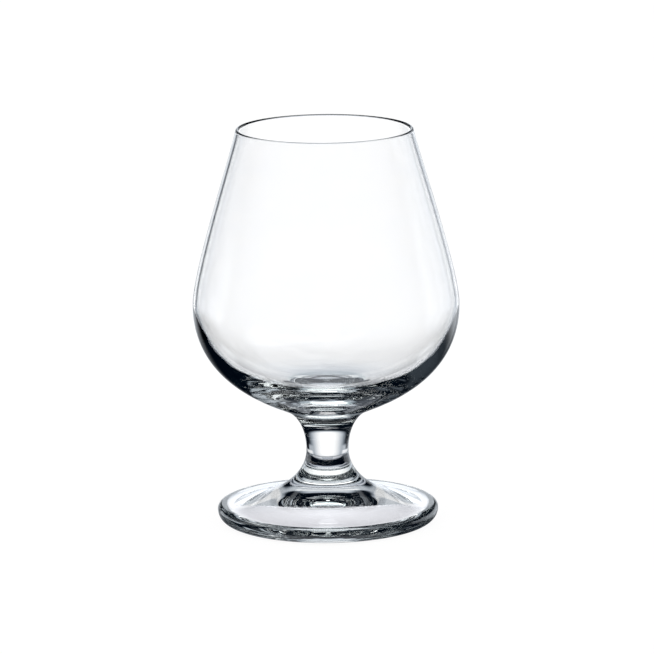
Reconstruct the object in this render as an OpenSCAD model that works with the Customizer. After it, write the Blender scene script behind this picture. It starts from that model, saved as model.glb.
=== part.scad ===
// Brandy snifter: a large egg-shaped bowl that closes towards the rim, a short waisted stem and a round foot.
// The three pieces are separate gathers of clear glass, each a solid of revolution about the Z axis.
// The bowl sits in the dished top of the stem, and the stem stands on the boss of the foot, face to face.
// The origin is the centre of the plane that the foot rests on. All lengths are in millimetres.

/* [Whole glass] */
// height of the glass, from the resting plane to the top of the rim
glass_h = 137; // [130:0.5:146]
// sides of each full turn
$fn = 60; // [48:12:120]

/* [Bowl outside] */
// outside diameter of the bowl at its widest place
bowl_d = 91.6; // [87:0.2:97]
// height of the widest place above the resting plane
belly_h = 76; // [72:0.5:80]
// outside diameter across the rim
rim_d = 60.8; // [56:0.2:66]
// how far the wall leans in from upright at the rim, in degrees
rim_lean = 13; // [10:0.5:16]

/* [Bowl inside] */
// thickness of the wall at the rim, which is rounded over it
rim_wall = 1.2; // [1:0.05:1.8]
// thickness of the wall at the widest place
belly_wall = 1.4; // [1.2:0.05:2.2]
// thickness of the glass under the middle of the bowl's floor
base_t = 8.4; // [7:0.1:10]

/* [Joint of bowl and stem] */
// diameter of the joint's edge, where the bowl's underside runs out of the stem
crown_d = 30.2; // [28:0.2:32]
// height of the joint's edge
crown_h = 39.4; // [38:0.2:41]
// slope of the bowl's underside at the joint's edge, in degrees
crown_slope = 21.5; // [18:0.5:25]

/* [Stem] */
// diameter of the stem at its waist
waist_d = 14.6; // [12:0.2:18]
// height of the waist
waist_h = 24.6; // [22:0.2:27]

/* [Foot] */
// diameter of the foot
foot_d = 76.2; // [70:0.2:84]
// height of the foot's widest line, above which the edge turns in
edge_h = 4.2; // [3.4:0.1:5]
// radius of the edge's upper round
edge_round = 1.8; // [1.2:0.1:2.2]
// how far the edge's lower round runs in, from the widest line to the resting ring
edge_under = 4.2; // [3:0.1:5.5]
// slope of the foot's top just inside the edge, in degrees
foot_slope = 2.5; // [1:0.5:4]
// width of the flat ring that the glass rests on
ring_w = 1.4; // [1:0.1:2.4]
// height of the hollow under the foot at its middle
hollow_h = 6.4; // [4:0.1:7.5]

/* [Hidden] */

glass_colour = [0.86, 0.91, 0.92, 0.35];

// Each curve is a cubic with a guide point near either end. A reach share is how far that guide point
// lies from its end, as a share of the height or of the radius that the curve spans.
shoulder_reach_share = 0.183;
neck_reach_share = 0.169;
cup_reach_share = 0.567;
hip_reach_share = 0.548;
floor_reach_share = 0.946;
heel_reach_share = 0.158;
crown_reach_share = 0.627;
stem_top_reach_share = 0.55;
stem_low_reach_share = 0.448;
foot_reach_share = 0.65;
hollow_edge_reach_share = 0.3;
hollow_mid_reach_share = 0.38;
// slope at which the hollow leaves the resting ring, in degrees
hollow_slope = 7;
// place along the flare, from the foot's edge to the waist, where the foot's boss ends and the stem begins
boss_share = 0.62;

// steps of the longer curves, of the shorter ones and of the small rounds
long_steps = 13;
short_steps = 8;
round_steps = 5;

bowl_r = bowl_d / 2;
rim_round = rim_wall / 2;
rim_mid = [rim_d / 2 - rim_round, glass_h - rim_round];
crown = [crown_d / 2, crown_h];
waist = [waist_d / 2, waist_h];

// The joint's face is part of a sphere that runs on from the bowl's underside to the axis.
crown_sphere_r = crown.x / sin(crown_slope);
crown_sphere_mid = [0, crown.y + crown_sphere_r * cos(crown_slope)];
bowl_floor_h = crown_sphere_mid.y - crown_sphere_r + base_t;

edge_round_mid = [foot_d / 2 - edge_round, edge_h];
foot_top_edge = edge_round_mid + edge_round * upward(90 - foot_slope);
ring_outer_r = foot_d / 2 - edge_under;
ring_inner_r = ring_outer_r - ring_w;

// unit vector at an angle above the outward direction
function upward(angle) = [cos(angle), sin(angle)];

// point at share t of the cubic through guide[0] and guide[3], drawn by guide[1] and guide[2]
function on_curve(guide, t) =
    pow(1 - t, 3) * guide[0] + 3 * pow(1 - t, 2) * t * guide[1] + 3 * (1 - t) * t * t * guide[2]
    + pow(t, 3) * guide[3];

// direction of the same cubic at share t
function along_curve(guide, t) =
    let (d = pow(1 - t, 2) * (guide[1] - guide[0]) + 2 * (1 - t) * t * (guide[2] - guide[1])
        + t * t * (guide[3] - guide[2]))
    d / norm(d);

// points of the cubic from one share to another, both ends included
function curve(guide, steps, from_share = 0, to_share = 1) =
    [for (i = [0:steps]) on_curve(guide, from_share + (to_share - from_share) * i / steps)];

// points of an elliptical arc, both ends included
function arc(middle, radii, from_angle, to_angle, steps) =
    [for (i = [0:steps])
        let (a = from_angle + (to_angle - from_angle) * i / steps)
        middle + [radii.x * cos(a), radii.y * sin(a)]];

// the same points from the other end
function backwards(points) = [for (i = [len(points) - 1:-1:0]) points[i]];

// Guides of the outline. Radii are .x and heights are .y.

// outside of the bowl, from the joint's edge out to the widest place
cup_guide = [
    crown,
    crown + cup_reach_share * (bowl_r - crown.x) * upward(crown_slope),
    [bowl_r, belly_h - hip_reach_share * (belly_h - crown.y)],
    [bowl_r, belly_h]
];

// outside of the bowl, from the widest place in to the rim's round
rim_start = rim_mid + rim_round * upward(rim_lean);
wall_guide = [
    [bowl_r, belly_h],
    [bowl_r, belly_h + shoulder_reach_share * (glass_h - belly_h)],
    rim_start - neck_reach_share * (glass_h - belly_h) * upward(90 + rim_lean),
    rim_start
];

// inside of the bowl, from the middle of the floor to the widest place
inner_r = bowl_r - belly_wall;
floor_guide = [
    [0, bowl_floor_h],
    [floor_reach_share * inner_r, bowl_floor_h],
    [inner_r, belly_h - heel_reach_share * (belly_h - bowl_floor_h)],
    [inner_r, belly_h]
];

// upper flare of the stem, from the waist out to the joint's edge, where it meets the bowl's underside
stem_top_guide = [
    waist,
    waist + [0, stem_top_reach_share * (crown.y - waist.y)],
    crown - crown_reach_share * (crown.x - waist.x) * upward(crown_slope),
    crown
];

// top of the foot and lower flare of the stem in one sweep, from the foot's edge in to the waist
flare_guide = [
    foot_top_edge,
    foot_top_edge + foot_reach_share * (foot_top_edge.x - waist.x) * upward(180 - foot_slope),
    waist - [0, stem_low_reach_share * (waist.y - foot_top_edge.y)],
    waist
];
boss = on_curve(flare_guide, boss_share);

// hollow under the foot, from the resting ring in to the axis
hollow_guide = [
    [ring_inner_r, 0],
    [ring_inner_r, 0] + hollow_edge_reach_share * ring_inner_r * upward(180 - hollow_slope),
    [hollow_mid_reach_share * ring_inner_r, hollow_h],
    [0, hollow_h]
];

// the sphere's face that the bowl and the stem share, from the axis out to the joint's edge
function crown_face() =
    arc(crown_sphere_mid, [crown_sphere_r, crown_sphere_r], -90, crown_slope - 90, round_steps);

// thickness of the bowl's wall at share t of the way up from the widest place
function wall_at(t) = rim_wall + (belly_wall - rim_wall) * pow(1 - t, 2);

// inside of the bowl above the widest place: the outside moved in by the wall, square to it
function inner_wall(steps) =
    [for (i = [0:steps])
        let (t = i / steps, d = along_curve(wall_guide, t))
        on_curve(wall_guide, t) + wall_at(t) * [-d.y, d.x]];

// the egg-shaped cup with its thick bottom and its rounded rim
module bowl() {
    color(glass_colour)
        rotate_extrude()
            polygon(concat(
                crown_face(),
                curve(cup_guide, long_steps),
                curve(wall_guide, short_steps),
                arc(rim_mid, [rim_round, rim_round], rim_lean, rim_lean + 180, round_steps),
                backwards(inner_wall(short_steps)),
                backwards(curve(floor_guide, long_steps))));
}

// the solid waisted stem, dished on top for the bowl and flat below for the foot's boss
module stem() {
    color(glass_colour)
        rotate_extrude()
            polygon(concat(
                [[0, boss.y]],
                curve(flare_guide, short_steps, boss_share, 1),
                curve(stem_top_guide, short_steps),
                backwards(crown_face())));
}

// the disc with its boss, rounded edge, flat resting ring and hollow underside
module foot() {
    color(glass_colour)
        rotate_extrude()
            polygon(concat(
                [[0, boss.y]],
                backwards(curve(flare_guide, long_steps, 0, boss_share)),
                backwards(arc(edge_round_mid, [edge_round, edge_round], 0, 90 - foot_slope, round_steps)),
                arc([ring_outer_r, edge_h], [edge_under, edge_h], 0, -90, round_steps),
                curve(hollow_guide, long_steps)));
}

bowl();
stem();
foot();
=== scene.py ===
import math

import bpy
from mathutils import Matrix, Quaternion, Vector


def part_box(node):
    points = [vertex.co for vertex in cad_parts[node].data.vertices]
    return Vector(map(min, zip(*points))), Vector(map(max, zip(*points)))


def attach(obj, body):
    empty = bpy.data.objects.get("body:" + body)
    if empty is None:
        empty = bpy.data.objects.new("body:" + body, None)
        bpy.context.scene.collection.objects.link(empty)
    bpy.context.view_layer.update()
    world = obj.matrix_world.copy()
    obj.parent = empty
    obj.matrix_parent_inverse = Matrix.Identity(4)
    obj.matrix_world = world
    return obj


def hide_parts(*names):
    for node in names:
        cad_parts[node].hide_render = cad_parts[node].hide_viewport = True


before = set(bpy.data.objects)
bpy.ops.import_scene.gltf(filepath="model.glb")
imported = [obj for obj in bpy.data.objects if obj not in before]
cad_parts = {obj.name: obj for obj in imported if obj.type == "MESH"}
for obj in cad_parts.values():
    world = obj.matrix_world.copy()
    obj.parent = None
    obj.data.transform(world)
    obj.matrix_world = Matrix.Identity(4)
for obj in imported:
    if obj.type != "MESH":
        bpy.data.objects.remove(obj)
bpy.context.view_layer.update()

MM = 0.001
WHITE = (1.0, 1.0, 1.0, 1)

# Sizes read from the frame
rim_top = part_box("bowl")[1][2]
bowl_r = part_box("bowl")[1][0]
cap_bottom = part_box("bowl")[0][2]
crown_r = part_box("stem")[1][0]
crown_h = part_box("stem")[1][2]
boss_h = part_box("foot")[1][2]
foot_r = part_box("foot")[1][0]

# Bowl
belly_h = 76 * MM
rim_r = 30.4 * MM
rim_lean = math.radians(13)
rim_wall = 1.2 * MM
belly_wall = 1.4 * MM
base_t = 8.4 * MM
rim_round = rim_wall / 2

# Joint of bowl and stem, part of a sphere that runs on from the bowl's underside
crown_slope = math.radians(21.5)
crown_sphere_r = crown_r / math.sin(crown_slope)
crown_sphere_h = crown_h + crown_sphere_r * math.cos(crown_slope)

# Stem
waist_r = 7.3 * MM
waist_h = 24.6 * MM

# Foot
edge_h = 4.2 * MM
edge_round = 1.8 * MM
edge_under = 4.2 * MM
foot_slope = math.radians(2.5)
ring_w = 1.4 * MM
hollow_h = 6.4 * MM
hollow_slope = math.radians(7)

# How far each guide point lies from its end, as a share of the height or radius that its curve spans
SHOULDER_REACH = 0.183
NECK_REACH = 0.169
CUP_REACH = 0.567
HIP_REACH = 0.548
FLOOR_REACH = 0.946
HEEL_REACH = 0.158
CROWN_REACH = 0.627
STEM_TOP_REACH = 0.55
STEM_LOW_REACH = 0.448
FOOT_REACH = 0.65
HOLLOW_EDGE_REACH = 0.3
HOLLOW_MID_REACH = 0.38
BOSS_SHARE = 0.62

# Steps of the long curves, of the small rounds and of a full turn
LONG_STEPS = 48
ROUND_STEPS = 12
TURN_STEPS = 256
# points nearer to each other than this are one point, and edges sharper than this are not smoothed
SAME_POINT = 0.0001 * MM
SHARP_EDGE = math.radians(30)

# Waves in the surface: how much longer they are round the glass than along its outline, the detail of
# their noise and its seed
WAVE_STRETCH = 4.0
WAVE_DETAIL = 1.0
WAVE_SEED = 3.0


# Outlines, as (radius, height) points

def upward(angle):
    """Unit step at an angle above the outward direction."""
    return Vector((math.cos(angle), math.sin(angle)))


def on_curve(guide, share):
    """Point of the cubic through the first and last guide points."""
    rest = 1 - share
    return (rest ** 3 * guide[0] + 3 * rest ** 2 * share * guide[1]
            + 3 * rest * share ** 2 * guide[2] + share ** 3 * guide[3])


def along_curve(guide, share):
    """Direction of the same cubic."""
    rest = 1 - share
    step = (rest ** 2 * (guide[1] - guide[0]) + 2 * rest * share * (guide[2] - guide[1])
            + share ** 2 * (guide[3] - guide[2]))
    return step.normalized()


def curve(guide, start=0.0, end=1.0):
    """Points of the cubic from one share to another, both ends included."""
    return [on_curve(guide, start + (end - start) * i / LONG_STEPS) for i in range(LONG_STEPS + 1)]


def arc(middle, across, tall, start, end):
    """Points of an elliptical arc between two angles."""
    angles = [start + (end - start) * i / ROUND_STEPS for i in range(ROUND_STEPS + 1)]
    return [middle + Vector((across * math.cos(a), tall * math.sin(a))) for a in angles]


crown = Vector((crown_r, crown_h))
belly = Vector((bowl_r, belly_h))
waist = Vector((waist_r, waist_h))
rim_mid = Vector((rim_r - rim_round, rim_top - rim_round))
rim_start = rim_mid + rim_round * upward(rim_lean)
bowl_floor = Vector((0, cap_bottom + base_t))
inner_belly = Vector((bowl_r - belly_wall, belly_h))
edge_mid = Vector((foot_r - edge_round, edge_h))
foot_top_edge = edge_mid + edge_round * upward(math.pi / 2 - foot_slope)
ring_outer_r = foot_r - edge_under
ring_inner = Vector((ring_outer_r - ring_w, 0))

cup_guide = [
    crown,
    crown + CUP_REACH * (bowl_r - crown_r) * upward(crown_slope),
    belly - Vector((0, HIP_REACH * (belly_h - crown_h))),
    belly,
]
wall_guide = [
    belly,
    belly + Vector((0, SHOULDER_REACH * (rim_top - belly_h))),
    rim_start - NECK_REACH * (rim_top - belly_h) * upward(math.pi / 2 + rim_lean),
    rim_start,
]
floor_guide = [
    bowl_floor,
    bowl_floor + Vector((FLOOR_REACH * inner_belly.x, 0)),
    inner_belly - Vector((0, HEEL_REACH * (belly_h - bowl_floor.y))),
    inner_belly,
]
stem_top_guide = [
    waist,
    waist + Vector((0, STEM_TOP_REACH * (crown_h - waist_h))),
    crown - CROWN_REACH * (crown_r - waist_r) * upward(crown_slope),
    crown,
]
flare_guide = [
    foot_top_edge,
    foot_top_edge + FOOT_REACH * (foot_top_edge.x - waist_r) * upward(math.pi - foot_slope),
    waist - Vector((0, STEM_LOW_REACH * (waist_h - foot_top_edge.y))),
    waist,
]
hollow_guide = [
    ring_inner,
    ring_inner + HOLLOW_EDGE_REACH * ring_inner.x * upward(math.pi - hollow_slope),
    Vector((HOLLOW_MID_REACH * ring_inner.x, hollow_h)),
    Vector((0, hollow_h)),
]


def inner_wall():
    """Inside of the bowl above the widest place: the outside moved in by the wall, square to it."""
    points = []
    for i in range(LONG_STEPS + 1):
        share = i / LONG_STEPS
        step = along_curve(wall_guide, share)
        wall = rim_wall + (belly_wall - rim_wall) * (1 - share) ** 2
        points.append(on_curve(wall_guide, share) + wall * Vector((-step.y, step.x)))
    return points


crown_face = arc(Vector((0, crown_sphere_h)), crown_sphere_r, crown_sphere_r,
                 -math.pi / 2, crown_slope - math.pi / 2)
boss_face = [Vector((0, boss_h)), Vector((on_curve(flare_guide, BOSS_SHARE).x, boss_h))]

# Each outline is a list of stretches. A stretch is its points, the share of the waves at its start and at
# its end, and whether it is fused to the next piece. The waves are strongest where the glass was last
# worked: round the joint of bowl and stem, on the stem and under the foot.
bowl_outline = [
    (crown_face, 0.0, 0.0, True),
    (curve(cup_guide, 0, 0.05), 0.0, 1.0, False),
    (curve(cup_guide, 0.05, 0.4), 1.0, 0.1, False),
    (curve(cup_guide, 0.4, 1), 0.1, 0.1, False),
    (curve(wall_guide), 0.1, 0.0, False),
    (arc(rim_mid, rim_round, rim_round, rim_lean, rim_lean + math.pi), 0.0, 0.0, False),
    (inner_wall()[::-1], 0.0, 0.1, False),
    (curve(floor_guide)[::-1], 0.1, 0.3, False),
]
stem_outline = [
    (boss_face, 0.0, 0.0, True),
    (curve(flare_guide, BOSS_SHARE, 1), 0.0, 1.0, False),
    (curve(stem_top_guide), 1.0, 0.0, False),
    (crown_face[::-1], 0.0, 0.0, True),
]
foot_outline = [
    (curve(hollow_guide)[::-1], 1.0, 0.0, False),
    ([ring_inner, Vector((ring_outer_r, 0))], 0.0, 0.0, False),
    (arc(Vector((ring_outer_r, edge_h)), edge_under, edge_h, -math.pi / 2, 0), 0.0, 0.3, False),
    (arc(edge_mid, edge_round, edge_round, 0, math.pi / 2 - foot_slope), 0.3, 0.3, False),
    (curve(flare_guide, 0, BOSS_SHARE), 0.3, 0.0, False),
    (boss_face[::-1], 0.0, 0.0, True),
]


# Node helpers

def add(tree, kind, **settings):
    """New node with these settings."""
    node = tree.nodes.new(kind)
    for name, value in settings.items():
        setattr(node, name, value)
    return node


def feed(tree, socket, value):
    """Links a socket to another, or sets it to a plain value."""
    if isinstance(value, bpy.types.NodeSocket):
        tree.links.new(value, socket)
    else:
        socket.default_value = value


def maths(tree, operation, *values):
    """Result of one sum, product or other operation."""
    node = add(tree, "ShaderNodeMath", operation=operation)
    for socket, value in zip(node.inputs, values):
        feed(tree, socket, value)
    return node.outputs[0]


def fade(tree, value, start, end, low=0.0, high=1.0):
    """Runs smoothly from low at start to high at end."""
    node = add(tree, "ShaderNodeMapRange", interpolation_type="SMOOTHSTEP")
    for socket, number in zip(node.inputs, (value, start, end, low, high)):
        feed(tree, socket, number)
    return node.outputs[0]


def mix(tree, share, first, second):
    """Mixes two numbers."""
    node = add(tree, "ShaderNodeMix")
    for socket, value in zip((node.inputs[0], node.inputs[2], node.inputs[3]), (share, first, second)):
        feed(tree, socket, value)
    return node.outputs[0]


def blend(tree, share, first, second):
    """Mixes two colours, which have sockets of their own on the same node."""
    node = add(tree, "ShaderNodeMix", data_type="RGBA")
    feed(tree, node.inputs[0], share)
    feed(tree, node.inputs[6], first)
    feed(tree, node.inputs[7], second)
    return node.outputs[2]


# Materials

def new_material(name):
    """Material with an empty node tree."""
    material = bpy.data.materials.new(name)
    material.use_nodes = True
    material.node_tree.nodes.clear()
    return material, material.node_tree


GLASS_IOR = 1.52
GLASS_TINT = (0.62, 0.86, 0.84, 1)
GLASS_DENSITY = 2.0
# cords: how much flatter than round they lie, the detail of their noise and the tint of their dark parts
CORD_FLATNESS = 2.5
CORD_DETAIL = 1.5
CORD_TINT = (0.985, 0.99, 1, 1)


def glass_material(name, cord_size, cord_depth):
    """Clear glass with faint cords, the soft uneven streaks that hot glass sets with."""
    material, tree = new_material(name)
    place = add(tree, "ShaderNodeTexCoord").outputs["Object"]
    flatten = add(tree, "ShaderNodeMapping")
    flatten.inputs["Scale"].default_value = (1, 1, CORD_FLATNESS)
    feed(tree, flatten.inputs["Vector"], place)
    cords = add(tree, "ShaderNodeTexNoise", noise_dimensions="3D")
    feed(tree, cords.inputs["Vector"], flatten.outputs[0])
    cords.inputs["Scale"].default_value = 1 / cord_size
    cords.inputs["Detail"].default_value = CORD_DETAIL
    bump = add(tree, "ShaderNodeBump")
    bump.inputs["Distance"].default_value = cord_depth
    bump.inputs["Strength"].default_value = 1.0
    feed(tree, bump.inputs["Height"], cords.outputs["Fac"])
    tint = blend(tree, cords.outputs["Fac"], CORD_TINT, WHITE)
    shader = add(tree, "ShaderNodeBsdfPrincipled")
    feed(tree, shader.inputs["Base Color"], tint)
    feed(tree, shader.inputs["Normal"], bump.outputs[0])
    shader.inputs["Roughness"].default_value = 0.0
    shader.inputs["IOR"].default_value = GLASS_IOR
    shader.inputs["Transmission Weight"].default_value = 1.0
    soak = add(tree, "ShaderNodeVolumeAbsorption")
    soak.inputs["Color"].default_value = GLASS_TINT
    soak.inputs["Density"].default_value = GLASS_DENSITY
    out = add(tree, "ShaderNodeOutputMaterial")
    tree.links.new(shader.outputs[0], out.inputs["Surface"])
    tree.links.new(soak.outputs[0], out.inputs["Volume"])
    return material


def fused_material():
    """The faces that are fused to the next piece, where light runs on from glass to glass."""
    material, tree = new_material("fused_joint")
    clear = add(tree, "ShaderNodeBsdfTransparent")
    out = add(tree, "ShaderNodeOutputMaterial")
    tree.links.new(clear.outputs[0], out.inputs["Surface"])
    return material


bowl_glass = glass_material("bowl_glass", cord_size=14 * MM, cord_depth=0.004 * MM)
stem_glass = glass_material("stem_glass", cord_size=6 * MM, cord_depth=0.006 * MM)
foot_glass = glass_material("foot_glass", cord_size=9 * MM, cord_depth=0.004 * MM)
fused_joint = fused_material()


# The pieces, each spun from its outline by geometry nodes

def new_socket(tree, name, kind, default=None):
    """Adds an input to the node group and gives its identifier."""
    socket = tree.interface.new_socket(name=name, in_out="INPUT", socket_type=kind)
    if default is not None:
        socket.default_value = default
    return socket.identifier


# a face is part of a joint where its points are fused by more than this on average
ALL_FUSED = 0.75


def spin_tree():
    """Turns an outline, a row of points, into a closed solid of revolution with uneven waves on it."""
    tree = bpy.data.node_groups.new("spun_glass", "GeometryNodeTree")
    names = {
        "outline": new_socket(tree, "Outline", "NodeSocketGeometry"),
        "turn_steps": new_socket(tree, "Turn Steps", "NodeSocketInt", TURN_STEPS),
        "wave_height": new_socket(tree, "Wave Height", "NodeSocketFloat", 0.0),
        "wave_length": new_socket(tree, "Wave Length", "NodeSocketFloat", 1.0),
        "wave_stretch": new_socket(tree, "Wave Stretch", "NodeSocketFloat", WAVE_STRETCH),
        "seed": new_socket(tree, "Seed", "NodeSocketFloat", 0.0),
        "glass": new_socket(tree, "Glass", "NodeSocketMaterial"),
        "joint": new_socket(tree, "Joint", "NodeSocketMaterial"),
    }
    tree.interface.new_socket(name="Solid", in_out="OUTPUT", socket_type="NodeSocketGeometry")
    given = add(tree, "NodeGroupInput").outputs
    outline = given["Outline"]

    # a grid with one row for each outline point and one column for each step of the turn
    rows = add(tree, "GeometryNodeAttributeDomainSize", component="MESH")
    feed(tree, rows.inputs[0], outline)
    columns = maths(tree, "ADD", given["Turn Steps"], 1)
    grid = add(tree, "GeometryNodeMeshGrid")
    feed(tree, grid.inputs["Vertices X"], rows.outputs["Point Count"])
    feed(tree, grid.inputs["Vertices Y"], columns)
    index = add(tree, "GeometryNodeInputIndex").outputs[0]
    row = maths(tree, "FLOOR", maths(tree, "DIVIDE", maths(tree, "ADD", index, 0.5), columns))
    column = maths(tree, "SUBTRACT", index, maths(tree, "MULTIPLY", row, columns))

    def from_outline(kind, value):
        node = add(tree, "GeometryNodeSampleIndex", data_type=kind, domain="POINT")
        feed(tree, node.inputs["Geometry"], outline)
        feed(tree, node.inputs["Value"], value)
        feed(tree, node.inputs["Index"], row)
        return node.outputs[0]

    def named(name):
        node = add(tree, "GeometryNodeInputNamedAttribute", data_type="FLOAT")
        node.inputs["Name"].default_value = name
        return node.outputs["Attribute"]

    place = add(tree, "GeometryNodeInputPosition").outputs[0]
    flat = add(tree, "ShaderNodeSeparateXYZ")
    feed(tree, flat.inputs[0], from_outline("FLOAT_VECTOR", place))
    radius, height = flat.outputs[0], flat.outputs[2]
    turn = maths(tree, "MULTIPLY", maths(tree, "DIVIDE", column, given["Turn Steps"]), 2 * math.pi)
    cosine, sine = maths(tree, "COSINE", turn), maths(tree, "SINE", turn)

    def turned(reach, rise):
        """Point at a reach from the axis, turned round it, and at a rise."""
        node = add(tree, "ShaderNodeCombineXYZ")
        feed(tree, node.inputs[0], maths(tree, "MULTIPLY", reach, cosine))
        feed(tree, node.inputs[1], maths(tree, "MULTIPLY", reach, sine))
        feed(tree, node.inputs[2], rise)
        return node.outputs[0]

    # waves run longer round the glass than along its outline, and only ever move a point in and up, so
    # that the solid stays inside its own box
    slow_r = maths(tree, "DIVIDE", radius, given["Wave Stretch"])
    noise = add(tree, "ShaderNodeTexNoise", noise_dimensions="4D")
    feed(tree, noise.inputs["Vector"], turned(slow_r, from_outline("FLOAT", named("along"))))
    feed(tree, noise.inputs["W"], given["Seed"])
    feed(tree, noise.inputs["Scale"], maths(tree, "DIVIDE", 1.0, given["Wave Length"]))
    noise.inputs["Detail"].default_value = WAVE_DETAIL
    full_wave = maths(tree, "MULTIPLY", noise.outputs["Fac"], given["Wave Height"])
    wave = maths(tree, "MULTIPLY", full_wave, from_outline("FLOAT", named("waves")))
    waved_r = maths(tree, "SUBTRACT", radius, maths(tree, "MINIMUM", wave, radius))
    waved_h = maths(tree, "ADD", height, wave)

    fused = add(tree, "GeometryNodeStoreNamedAttribute", data_type="FLOAT", domain="POINT")
    fused.inputs["Name"].default_value = "fused"
    feed(tree, fused.inputs["Geometry"], grid.outputs["Mesh"])
    feed(tree, fused.inputs["Value"], from_outline("FLOAT", named("fused")))
    placed = add(tree, "GeometryNodeSetPosition")
    feed(tree, placed.inputs["Geometry"], fused.outputs[0])
    feed(tree, placed.inputs["Position"], turned(waved_r, waved_h))
    outward = add(tree, "GeometryNodeFlipFaces")
    feed(tree, outward.inputs[0], placed.outputs[0])
    closed = add(tree, "GeometryNodeMergeByDistance")
    feed(tree, closed.inputs["Geometry"], outward.outputs[0])
    closed.inputs["Distance"].default_value = SAME_POINT

    # smooth all over but for the edges that are sharper than SHARP_EDGE
    smooth = add(tree, "GeometryNodeSetShadeSmooth", domain="FACE")
    feed(tree, smooth.inputs["Geometry"], closed.outputs[0])
    sharp = add(tree, "GeometryNodeSetShadeSmooth", domain="EDGE")
    feed(tree, sharp.inputs["Geometry"], smooth.outputs[0])
    angle = add(tree, "GeometryNodeInputMeshEdgeAngle").outputs["Unsigned Angle"]
    feed(tree, sharp.inputs["Selection"], maths(tree, "GREATER_THAN", angle, SHARP_EDGE))
    sharp.inputs["Shade Smooth"].default_value = False

    real = add(tree, "GeometryNodeRealizeInstances")
    feed(tree, real.inputs[0], sharp.outputs[0])
    glass = add(tree, "GeometryNodeSetMaterial")
    feed(tree, glass.inputs["Geometry"], real.outputs[0])
    feed(tree, glass.inputs["Material"], given["Glass"])
    joint = add(tree, "GeometryNodeSetMaterial")
    feed(tree, joint.inputs["Geometry"], glass.outputs[0])
    feed(tree, joint.inputs["Selection"], maths(tree, "GREATER_THAN", named("fused"), ALL_FUSED))
    feed(tree, joint.inputs["Material"], given["Joint"])
    done = add(tree, "NodeGroupOutput")
    tree.links.new(joint.outputs[0], done.inputs[0])
    return tree, names


def outline_mesh(name, outline):
    """The outline's points in order, without doubles, with how much each waves, how far along the outline
    it lies and whether it is fused."""
    points, waves, along, fused = [], [], [], []
    for stretch, first_share, last_share, joined in outline:
        for step, point in enumerate(stretch):
            share = first_share + (last_share - first_share) * step / (len(stretch) - 1)
            if points and (points[-1] - point).length < SAME_POINT:
                fused[-1] = fused[-1] or float(joined)
                waves[-1] = min(waves[-1], share)
                continue
            along.append(along[-1] + (points[-1] - point).length if points else 0.0)
            points.append(point)
            waves.append(share)
            fused.append(float(joined))
    mesh = bpy.data.meshes.new(name)
    edges = [(i, i + 1) for i in range(len(points) - 1)]
    mesh.from_pydata([(point.x, 0, point.y) for point in points], edges, [])
    for key, values in (("waves", waves), ("along", along), ("fused", fused)):
        mesh.attributes.new(key, "FLOAT", "POINT").data.foreach_set("value", values)
    return mesh


spun_glass, spun_inputs = spin_tree()


def spun_piece(name, outline, material, wave_height, wave_length):
    """Spins the outline and leaves a plain mesh in its place."""
    blank = bpy.data.objects.new(name + "_outline", outline_mesh(name + "_outline", outline))
    bpy.context.collection.objects.link(blank)
    spin = blank.modifiers.new("spin", "NODES")
    spin.node_group = spun_glass
    settings = {
        "turn_steps": TURN_STEPS,
        "wave_height": wave_height,
        "wave_length": wave_length,
        "wave_stretch": WAVE_STRETCH,
        "seed": WAVE_SEED,
        "glass": material,
        "joint": fused_joint,
    }
    for key, value in settings.items():
        spin[spun_inputs[key]] = value
    depsgraph = bpy.context.evaluated_depsgraph_get()
    mesh = bpy.data.meshes.new_from_object(blank.evaluated_get(depsgraph), depsgraph=depsgraph)
    mesh.name = name
    # drop any slot that holds no material
    while None in mesh.materials[:]:
        mesh.materials.pop(index=mesh.materials[:].index(None))
    bpy.data.objects.remove(blank)
    piece = bpy.data.objects.new(name, mesh)
    bpy.context.collection.objects.link(piece)
    return piece


# name, CAD node, outline, glass, and the height and length of the waves
PIECES = (
    ("blown_bowl", "bowl", bowl_outline, bowl_glass, 0.15 * MM, 4 * MM),
    ("waisted_stem", "stem", stem_outline, stem_glass, 0.03 * MM, 3 * MM),
    ("pressed_foot", "foot", foot_outline, foot_glass, 0.04 * MM, 5 * MM),
)
for name, node, outline, material, wave_height, wave_length in PIECES:
    piece = spun_piece(name, outline, material, wave_height, wave_length)
    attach(piece, "root")
    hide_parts(node)


# Studio: a white sweep behind and under the glass, with darker bands to the left and right of it, and soft
# lights. The world holds it by direction. Angles are in degrees. Turns go from straight behind the glass,
# positive to the right, and rises go up from the level.

# Each lamp is a soft-edged patch: its level, the turn of its middle, the turns away from there over which
# it fades out, the rises over which it fades in from below, and those over which it fades out above.
# None leaves that side open. Where lamps overlap, the brightest one shows.

# seen straight through the glass
THROUGH_LAMPS = {
    "sweep": (1.2, 0, (5, 50), (-60, -15), (10, 20)),
    "middle table": (0.6, 0, (8, 16), (-60, -50), (-34, -26)),
    "right table": (0.9, 28, (14, 18), (-60, -54), (-36, -30)),
    "left table": (0.9, -28, (14, 18), (-60, -54), (-36, -30)),
    "right wing": (0.95, 56, (16, 30), (-30, -22), (-16, -13)),
    "left wing": (0.95, -56, (16, 30), (-30, -22), (-16, -13)),
    "right screen": (0.5, 38, (8, 16), (-30, -22), (-9, -4)),
    "left screen": (0.5, -38, (8, 16), (-30, -22), (-9, -4)),
    "room": (1.1, 180, (95, 112), (-60, -15), (30, 45)),
    "floor": (0.8, 0, None, None, (-75, -65)),
}
# seen across the bowl as well, through both its walls, so that it looks clear from other sides too
ACROSS_LAMPS = {
    "right side": (1.15, 56, (18, 30), (-60, -15), (10, 20)),
    "left side": (1.15, -56, (18, 30), (-60, -15), (10, 20)),
}
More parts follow.
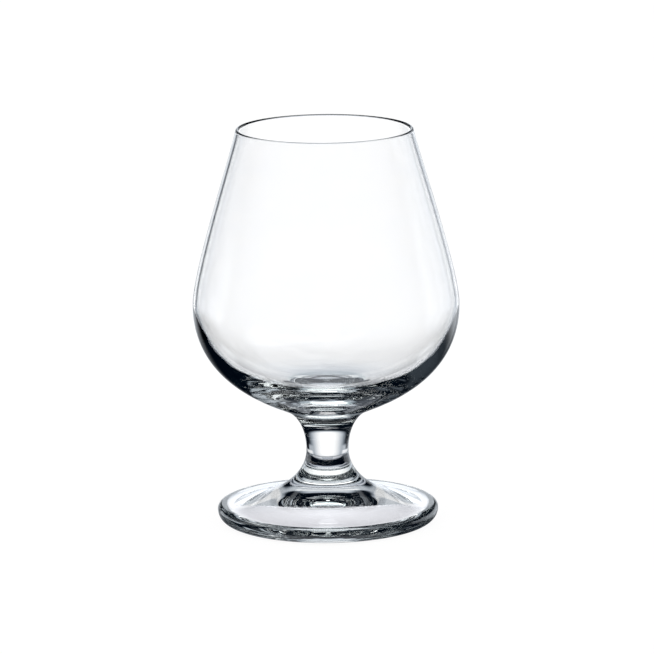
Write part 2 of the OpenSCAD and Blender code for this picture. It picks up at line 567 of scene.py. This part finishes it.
# seen after a reflection inside the glass
INNER_LAMPS = {
    "near sweep": (2.0, 0, (14, 20), (-35, -25), (-12, -4)),
    "middle sweep": (0.6, 0, (18, 22), (-50, -45), (14, 18)),
    "far sweep": (1.0, 0, (14, 20), (8, 11), (15, 18)),
    "high sweep": (0.6, 0, (10, 18), (10, 14), (26, 34)),
    "floor wings": (0.5, 0, (28, 40), (-60, -50), (-14, -8)),
    "low wings": (0.8, 0, (50, 55), (-46, -42), (-38, -32)),
    "front light": (2.8, 180, (10, 15), (38, 43), (60, 65)),
    "ceiling": (0.06, 0, None, (68, 78), None),
    "right light": (1.1, 68, (22, 28), (34, 40), None),
    "right glow": (0.55, 52, (8, 12), (-12, -8), (8, 14)),
    "left glow": (0.1, -52, (8, 12), (-12, -8), (6, 10)),
    "left wall": (0.05, -88, (16, 26), (0, 4), (22, 30)),
    "left strip": (0.04, -116, (16, 24), (-18, -8), (35, 45)),
}
# seen in the outside of the glass
OUTER_LAMPS = {
    "sweep": (0.7, 0, (20, 30), (-20, -12), (4, 10)),
    "low sweep": (0.4, -8, (16, 26), (-28, -12), (-8, 4)),
    "far sweep": (1.3, 0, (5, 10), (-8, -3), (14, 20)),
    "left side": (1.2, -56, (22, 32), (-16, -6), (6, 12)),
    "right side": (1.3, 52, (26, 38), (-24, -12), (8, 14)),
    "table behind": (1.1, 0, (5, 25), None, (-48, -34)),
    "table before": (1.1, 180, (85, 105), None, (-48, -34)),
    "overhead": (1.0, 0, None, (40, 46), None),
}

# tint of light at level 0, which runs to white at level 1
COOL = (0.86, 1.0, 1.17, 1)
# all that the outside of the glass reflects has the tint of this level
OUTER_WARMTH = 0.6
# the little light that comes from everywhere
DARK = (0.0004, 0.002, 0.0052)
# the counts of a ray's reflections and refractions are whole, and the bowl's two walls refract it four times
AT_LEAST_ONE = 0.5
AT_LEAST_FOUR = 3.5

# Floor: the shade that it lays under the foot, the share of the foot's radius from which that fades out,
# its own paint and glow, half its width and how far it lies under the foot
SHADE = (0.84, 0.84, 0.88, 1)
SHADE_EDGE = 0.8
FLOOR_PAINT = (0.1, 0.1, 0.1, 1)
FLOOR_GLOW = 0.93
FLOOR_HALF = 6.0
FLOOR_DROP = 0.05 * MM


def edge(angles):
    """Both ends of a lamp's soft edge."""
    return [math.radians(angle) for angle in angles]


def patch(tree, side, raised, level, middle, sides, below, above):
    """Brightness of one lamp in the direction that the ray takes."""
    value = level
    if sides:
        turn = maths(tree, "SUBTRACT", side, math.radians(middle))
        away = maths(tree, "ARCCOSINE", maths(tree, "COSINE", turn))
        value = fade(tree, away, *edge(sides), value, 0)
    if below:
        value = maths(tree, "MULTIPLY", value, fade(tree, raised, *edge(below)))
    if above:
        value = maths(tree, "MULTIPLY", value, fade(tree, raised, *edge(above), 1, 0))
    return value


def brightest(tree, side, raised, lamps):
    """Brightness of the brightest lamp in that direction."""
    top = 0.0
    for lamp in lamps.values():
        top = maths(tree, "MAXIMUM", top, patch(tree, side, raised, *lamp))
    return top


def studio_world():
    """The lamps for each kind of ray, and plain white for the camera."""
    world = bpy.data.worlds.new("studio")
    bpy.context.scene.world = world
    world.use_nodes = True
    tree = world.node_tree
    tree.nodes.clear()
    direction = add(tree, "ShaderNodeSeparateXYZ")
    feed(tree, direction.inputs[0], add(tree, "ShaderNodeTexCoord").outputs["Generated"])
    across, back, up = direction.outputs
    side = maths(tree, "ARCTAN2", across, back)
    raised = maths(tree, "ARCSINE", up)
    path = add(tree, "ShaderNodeLightPath").outputs
    reflected = maths(tree, "GREATER_THAN", path["Glossy Depth"], AT_LEAST_ONE)
    refracted = maths(tree, "GREATER_THAN", path["Transmission Depth"], AT_LEAST_ONE)
    two_walls = maths(tree, "GREATER_THAN", path["Transmission Depth"], AT_LEAST_FOUR)
    across_bowl = maths(tree, "MULTIPLY", two_walls, brightest(tree, side, raised, ACROSS_LAMPS))
    through = maths(tree, "MAXIMUM", brightest(tree, side, raised, THROUGH_LAMPS), across_bowl)
    inner = brightest(tree, side, raised, INNER_LAMPS)
    outer = brightest(tree, side, raised, OUTER_LAMPS)
    level = mix(tree, reflected, through, mix(tree, refracted, outer, inner))

    # dim light is cool, and what the outside of the glass reflects is cool all through
    warmth = mix(tree, reflected, level, mix(tree, refracted, OUTER_WARMTH, level))
    tint = blend(tree, warmth, COOL, WHITE)
    light = add(tree, "ShaderNodeVectorMath", operation="SCALE")
    feed(tree, light.inputs[0], tint)
    feed(tree, light.inputs["Scale"], level)
    lit = add(tree, "ShaderNodeVectorMath", operation="ADD")
    feed(tree, lit.inputs[0], light.outputs[0])
    feed(tree, lit.inputs[1], DARK)
    plain = maths(tree, "MAXIMUM", path["Is Camera Ray"], path["Is Diffuse Ray"])
    colour = blend(tree, plain, lit.outputs[0], WHITE)
    background = add(tree, "ShaderNodeBackground")
    feed(tree, background.inputs["Color"], colour)
    out = add(tree, "ShaderNodeOutputWorld")
    tree.links.new(background.outputs[0], out.inputs["Surface"])


def floor_material():
    """White to the camera, and clear to any other ray but for the shade that lies under the foot."""
    material, tree = new_material("white_floor")
    place = add(tree, "ShaderNodeSeparateXYZ")
    feed(tree, place.inputs[0], add(tree, "ShaderNodeTexCoord").outputs["Object"])
    squares = [maths(tree, "MULTIPLY", output, output) for output in place.outputs[:2]]
    from_axis = maths(tree, "SQRT", maths(tree, "ADD", *squares))
    shade = blend(tree, fade(tree, from_axis, SHADE_EDGE * foot_r, foot_r), SHADE, WHITE)
    under_foot = add(tree, "ShaderNodeBsdfTransparent")
    feed(tree, under_foot.inputs["Color"], shade)
    paint = add(tree, "ShaderNodeBsdfDiffuse")
    paint.inputs["Color"].default_value = FLOOR_PAINT
    glow = add(tree, "ShaderNodeEmission")
    glow.inputs["Strength"].default_value = FLOOR_GLOW
    white = add(tree, "ShaderNodeAddShader")
    tree.links.new(paint.outputs[0], white.inputs[0])
    tree.links.new(glow.outputs[0], white.inputs[1])
    choice = add(tree, "ShaderNodeMixShader")
    feed(tree, choice.inputs[0], add(tree, "ShaderNodeLightPath").outputs["Is Camera Ray"])
    tree.links.new(under_foot.outputs[0], choice.inputs[1])
    tree.links.new(white.outputs[0], choice.inputs[2])
    out = add(tree, "ShaderNodeOutputMaterial")
    tree.links.new(choice.outputs[0], out.inputs["Surface"])
    return material


def studio_floor():
    """A large square just under the foot."""
    mesh = bpy.data.meshes.new("floor")
    signs = ((-1, -1), (1, -1), (1, 1), (-1, 1))
    corners = [(x * FLOOR_HALF, y * FLOOR_HALF, -FLOOR_DROP) for x, y in signs]
    mesh.from_pydata(corners, [], [(0, 1, 2, 3)])
    mesh.materials.append(floor_material())
    floor = bpy.data.objects.new("floor", mesh)
    bpy.context.collection.objects.link(floor)


studio_world()
studio_floor()

# Camera, high above the rim and tilted down at the glass. Its focal length and shift and the picture's
# width are in pixels.
CAMERA_BACK = 1735 * MM
CAMERA_UP = 427.2 * MM
AIM_UP = 67.8 * MM
SENSOR = 36.0
FOCAL_PIXELS = 5157
SHIFT_PIXELS = 0.7
PICTURE = 654
ROLL = math.radians(-0.55)
CLIP_END = 30

# How often light may bounce in the glass, and how many fused faces and floors it may pass
BOUNCES = 24
CLEAR_BOUNCES = 32

lens = bpy.data.cameras.new("camera")
lens.sensor_width = SENSOR
lens.lens = FOCAL_PIXELS * SENSOR / PICTURE
lens.clip_end = CLIP_END
lens.shift_x = SHIFT_PIXELS / PICTURE
camera = bpy.data.objects.new("camera", lens)
camera.location = (0, -CAMERA_BACK, CAMERA_UP)
aim = Vector((0, 0, AIM_UP)) - camera.location
camera.rotation_mode = "QUATERNION"
camera.rotation_quaternion = aim.to_track_quat("-Z", "Y") @ Quaternion((0, 0, 1), ROLL)
bpy.context.collection.objects.link(camera)
scene = bpy.context.scene
scene.camera = camera
scene.view_settings.view_transform = "Standard"
scene.cycles.max_bounces = BOUNCES
scene.cycles.transmission_bounces = BOUNCES
scene.cycles.glossy_bounces = BOUNCES
scene.cycles.transparent_max_bounces = CLEAR_BOUNCES
